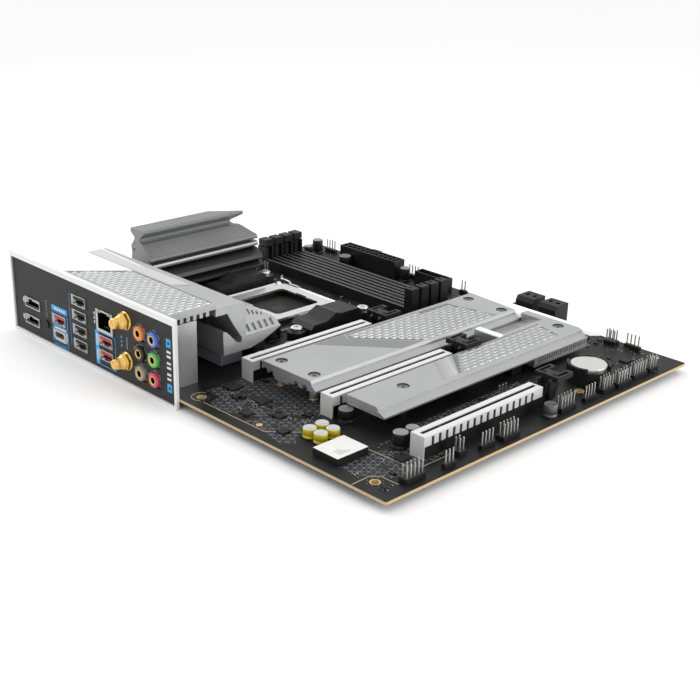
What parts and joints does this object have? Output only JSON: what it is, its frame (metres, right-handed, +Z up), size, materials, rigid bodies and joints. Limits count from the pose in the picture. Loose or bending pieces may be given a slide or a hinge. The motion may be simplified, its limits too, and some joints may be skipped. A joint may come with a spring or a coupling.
{
  "type": "motherboard",
  "caption": "Full-size desktop computer motherboard with finned heatsinks, rear port plate, processor socket, memory slots and expansion slots.",
  "frame": {"origin": "centre of the main rectangle of four stand-off holes, on the underside of the board", "axes": "+X from the rear port edge to the front edge, +Y from the expansion slots to the top edge beside the processor socket, +Z up from the component face"},
  "size_m": [0.2535, 0.3052, 0.0509],
  "materials": {
    "board": "satin black laminate",
    "shield_dark": "satin charcoal",
    "shield_rim": "satin light grey",
    "heatsink": "bead-blasted light grey",
    "heatsink_dark": "satin grey",
    "steel": "bright steel",
    "black_plastic": "matte black",
    "port_metal": "tinned steel",
    "gold": "gold plate",
    "ring_colour": "coloured rings",
    "can_dark": "dark sleeve, grey top",
    "can_yellow": "yellow sleeve, grey top",
    "cell": "polished steel",
    "clear_bar": "white diffuser",
    "choke": "dark ferrite",
    "pad": "soft pad",
    "audio_can": "white top, black sides",
    "red_plastic": "red tongues"
  },
  "bodies": {
    "board": {"pcb": "board", "io_shield": "shield_dark", "io_shield_rim": "shield_rim", "display_ports": "port_metal", "usb_c_stack": "port_metal", "usb_stack": "port_metal", "lan_usb_stack": "port_metal", "usb_tongues": "red_plastic", "wifi_module": "port_metal", "antenna_connectors": "gold", "audio_jack_block": "port_metal", "audio_jack_rings": "ring_colour", "button_switch": "black_plastic", "io_cover": "heatsink", "rear_vrm_heatsink": "heatsink", "top_vrm_heatsink": "heatsink_dark", "chokes": "choke", "thermal_pads": "pad", "cpu_power_sockets": "black_plastic", "socket_housing": "black_plastic", "socket_frame": "steel", "cooler_bracket_lower": "black_plastic", "cooler_bracket_upper": "black_plastic", "cooler_screws": "steel", "socket_backplate": "steel", "pcie_armour": "steel", "upper_m2_heatsink": "heatsink", "lower_m2_heatsink": "heatsink", "light_bars": "clear_bar", "heatsink_screws": "steel", "heatsink_posts": "gold", "m2_sockets": "black_plastic", "battery_holder": "black_plastic", "atx_power_socket": "black_plastic", "sata_ports": "black_plastic", "usb3_header": "black_plastic", "header_bodies": "black_plastic", "header_pins": "gold", "dark_capacitors": "can_dark", "audio_capacitors": "can_yellow", "audio_shield": "audio_can", "chips": "black_plastic", "dimm_slot_1": "black_plastic", "dimm_slot_2": "black_plastic", "dimm_slot_3": "black_plastic", "dimm_slot_4": "black_plastic", "pcie_slot_1": "black_plastic", "pcie_slot_2": "black_plastic", "pcie_slot_3": "black_plastic"},
    "load_plate": {"load_plate": "steel"},
    "socket_lever": {"socket_lever": "steel"},
    "flash_button": {"flash_button": "black_plastic"},
    "coin_cell": {"coin_cell": "cell"},
    "dimm_latch_1": {"dimm_latch_1": "black_plastic"},
    "dimm_latch_2": {"dimm_latch_2": "black_plastic"},
    "dimm_latch_3": {"dimm_latch_3": "black_plastic"},
    "dimm_latch_4": {"dimm_latch_4": "black_plastic"},
    "pcie_latch_1": {"pcie_latch_1": "black_plastic"},
    "pcie_latch_2": {"pcie_latch_2": "black_plastic"},
    "pcie_latch_3": {"pcie_latch_3": "black_plastic"}
  },
  "joints": [
    {"name": "load_plate_hinge", "type": "hinge", "parent": "board", "child": "load_plate", "pos_m": [0.00417, 0.16176, 0.00687], "axis": [-1, 0, 0], "range_deg": [0, 100]},
    {"name": "socket_lever_hinge", "type": "hinge", "parent": "board", "child": "socket_lever", "pos_m": [0.00417, 0.10776, 0.00477], "axis": [1, 0, 0], "range_deg": [0, 130]},
    {"name": "flash_button_press", "type": "slide", "parent": "board", "child": "flash_button", "axis": [1, 0, 0], "range_m": [0, 0.0008], "stiffness_N_per_m": 300, "springref_m": -0.001},
    {"name": "coin_cell_lift", "type": "slide", "parent": "board", "child": "coin_cell", "axis": [0, 0, 1], "range_m": [0, 0.012]},
    {"name": "dimm_latch_1_hinge", "type": "hinge", "parent": "board", "child": "dimm_latch_1", "pos_m": [0.05502, 0.20826, 0.00607], "axis": [-1, 0, 0], "range_deg": [0, 25]},
    {"name": "dimm_latch_2_hinge", "type": "hinge", "parent": "board", "child": "dimm_latch_2", "pos_m": [0.06387, 0.20826, 0.00607], "axis": [-1, 0, 0], "range_deg": [0, 25]},
    {"name": "dimm_latch_3_hinge", "type": "hinge", "parent": "board", "child": "dimm_latch_3", "pos_m": [0.07272, 0.20826, 0.00607], "axis": [-1, 0, 0], "range_deg": [0, 25]},
    {"name": "dimm_latch_4_hinge", "type": "hinge", "parent": "board", "child": "dimm_latch_4", "pos_m": [0.08156, 0.20826, 0.00607], "axis": [-1, 0, 0], "range_deg": [0, 25]},
    {"name": "pcie_latch_1_hinge", "type": "hinge", "parent": "board", "child": "pcie_latch_1", "pos_m": [0.01717, -0.05814, 0.00577], "axis": [0, 1, 0], "range_deg": [0, 30]},
    {"name": "pcie_latch_2_hinge", "type": "hinge", "parent": "board", "child": "pcie_latch_2", "pos_m": [0.01717, 0.00282, 0.00577], "axis": [0, 1, 0], "range_deg": [0, 30]},
    {"name": "pcie_latch_3_hinge", "type": "hinge", "parent": "board", "child": "pcie_latch_3", "pos_m": [0.01717, 0.06378, 0.00577], "axis": [0, 1, 0], "range_deg": [0, 30]}
  ]
}
